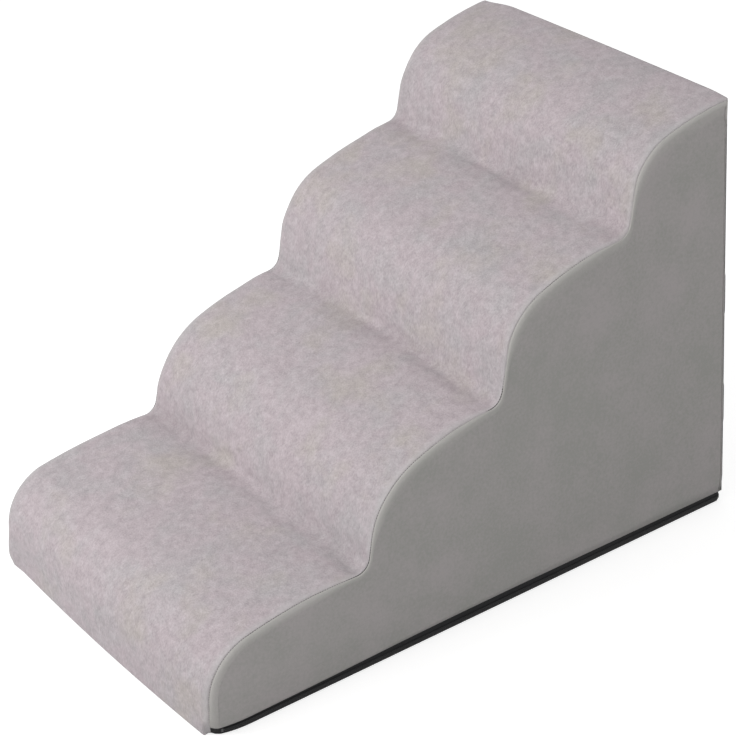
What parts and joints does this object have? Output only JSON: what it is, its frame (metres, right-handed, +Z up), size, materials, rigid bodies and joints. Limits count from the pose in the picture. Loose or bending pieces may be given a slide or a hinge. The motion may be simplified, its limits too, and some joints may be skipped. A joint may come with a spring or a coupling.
{
  "type": "pet stairs",
  "caption": "Foam pet stairs with rounded, plush-covered steps, woven sides and a zipped, removable cover on a non-slip base.",
  "frame": {"origin": "on the floor, at the middle of the base", "axes": "+Z up; +Y from the lowest step's front face to the upright back; +X to the right of someone who climbs the stairs"},
  "size_m": [0.4909, 0.804, 0.572],
  "materials": {
    "plush": "short-pile plush, mottled pinkish grey",
    "woven_cloth": "fine woven upholstery cloth, matt grey",
    "base_cloth": "coated non-slip base cloth, black",
    "grip_rubber": "matt silicone dots, near black",
    "firm_foam": "open-cell high-density foam, cut face",
    "soft_foam": "open-cell soft foam, cut face",
    "zip_tape": "woven black zip tape",
    "zip_coil": "black monofilament coil, slight sheen",
    "zip_metal": "black enamel on die-cast metal"
  },
  "bodies": {
    "stairs": {"foam_core": "firm_foam", "comfort_foam": "soft_foam", "tread_cover": "plush", "side_panel_left": "woven_cloth", "side_panel_right": "woven_cloth", "back_panel": "woven_cloth", "base_panel": "base_cloth", "grip_dots": "grip_rubber", "zip_tape_upper": "zip_tape", "zip_tape_lower": "zip_tape", "zip_coil_upper": "zip_coil", "zip_coil_lower": "zip_coil", "zip_top_stops": "zip_metal", "zip_bottom_stop": "zip_metal"},
    "zip_slider": {"zip_slider": "zip_metal"},
    "pull_tab": {"pull_tab": "zip_metal"}
  },
  "joints": [
    {"name": "slider_travel", "type": "slide", "parent": "stairs", "child": "zip_slider", "axis": [0, 1, 0], "range_m": [0, 0.75], "deforming": ["zip_tape_upper", "zip_tape_lower", "zip_coil_upper", "zip_coil_lower"]},
    {"name": "pull_tab_flip", "type": "hinge", "parent": "zip_slider", "child": "pull_tab", "pos_m": [-0.2456, -0.37409, 0.0061], "axis": [0, 0, 1], "range_deg": [0, 170]}
  ]
}
